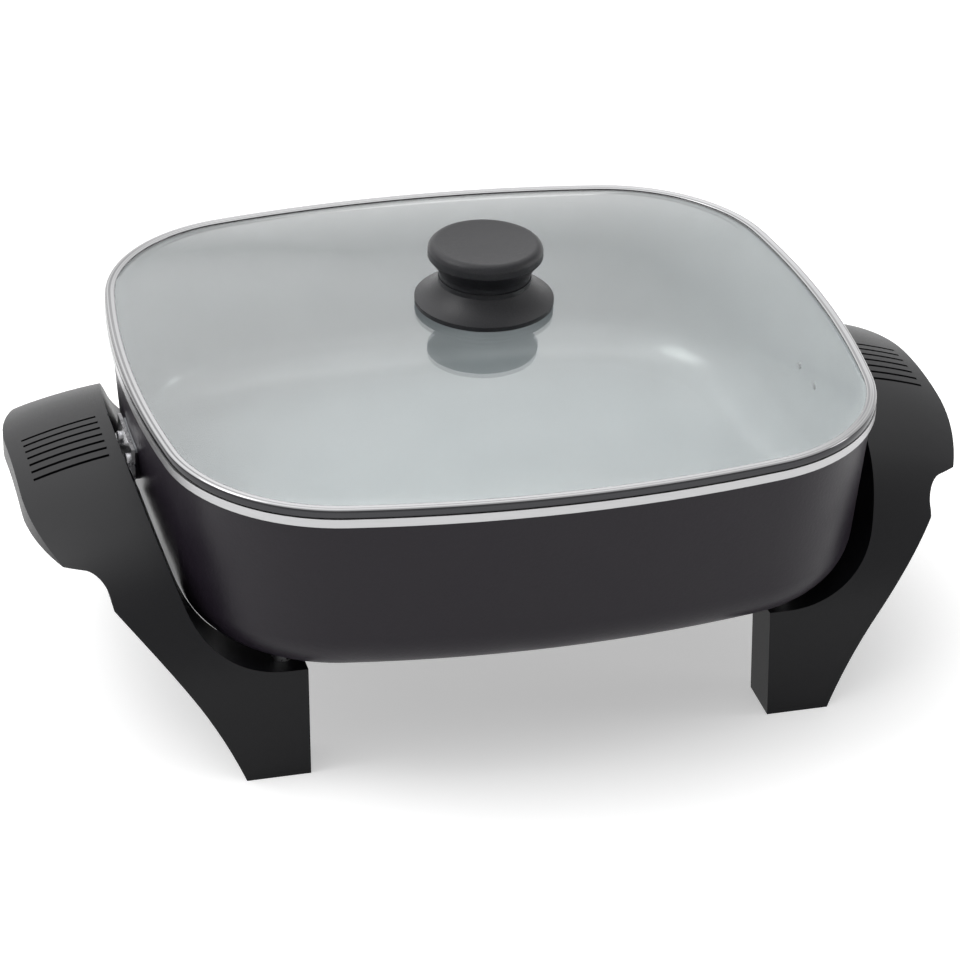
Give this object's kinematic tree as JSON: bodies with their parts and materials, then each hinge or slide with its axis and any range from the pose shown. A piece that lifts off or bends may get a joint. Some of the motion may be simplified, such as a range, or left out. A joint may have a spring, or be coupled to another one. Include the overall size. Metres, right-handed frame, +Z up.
{
  "type": "electric skillet",
  "caption": "Deep rounded-square electric skillet with a lift-off domed glass lid, knob and arched handle legs.",
  "frame": {"origin": "on the table under the middle of the pan", "axes": "+X from the left handle to the right handle with the inlet, +Z up, -Y towards the cook"},
  "size_m": [0.541, 0.376, 0.2403],
  "materials": {
    "pan_enamel": "satin dark enamel outside, pale ceramic coating inside",
    "handle_plastic": "fine-grained black phenolic moulding",
    "knob_plastic": "fine-grained black phenolic moulding",
    "lid_glass": "clear tempered glass",
    "rim_steel": "polished stainless steel",
    "element_steel": "dull steel sheath",
    "bracket_steel": "zinc-plated steel",
    "screw_steel": "zinc-plated steel",
    "pin_steel": "plated terminal",
    "bead_ceramic": "white glazed ceramic",
    "insert_brass": "turned brass",
    "gasket_rubber": "grey silicone"
  },
  "bodies": {
    "base": {"pan_body": "pan_enamel", "heating_element": "element_steel", "element_insulators": "bead_ceramic", "terminal_pins": "pin_steel", "probe_sleeve": "element_steel", "inlet_shroud": "handle_plastic", "shroud_screws": "screw_steel", "handle_left": "handle_plastic", "bracket_left": "bracket_steel", "bracket_screws_left": "screw_steel", "handle_screws_left": "screw_steel", "leg_screws_left": "screw_steel", "leg_washers_left": "screw_steel", "leg_spacers_left": "bracket_steel", "handle_right": "handle_plastic", "bracket_right": "bracket_steel", "bracket_screws_right": "screw_steel", "handle_screws_right": "screw_steel", "leg_screws_right": "screw_steel", "leg_washers_right": "screw_steel", "leg_spacers_right": "bracket_steel"},
    "lid": {"lid_glass": "lid_glass", "lid_rim": "rim_steel", "knob_skirt": "knob_plastic", "knob_grip": "knob_plastic", "knob_insert": "insert_brass", "knob_gasket": "gasket_rubber", "knob_washer": "screw_steel", "knob_screw": "screw_steel"}
  },
  "joints": [
    {"name": "lid_lift", "type": "slide", "parent": "base", "child": "lid", "axis": [0, 0, 1], "range_m": [0, 0.15]}
  ]
}
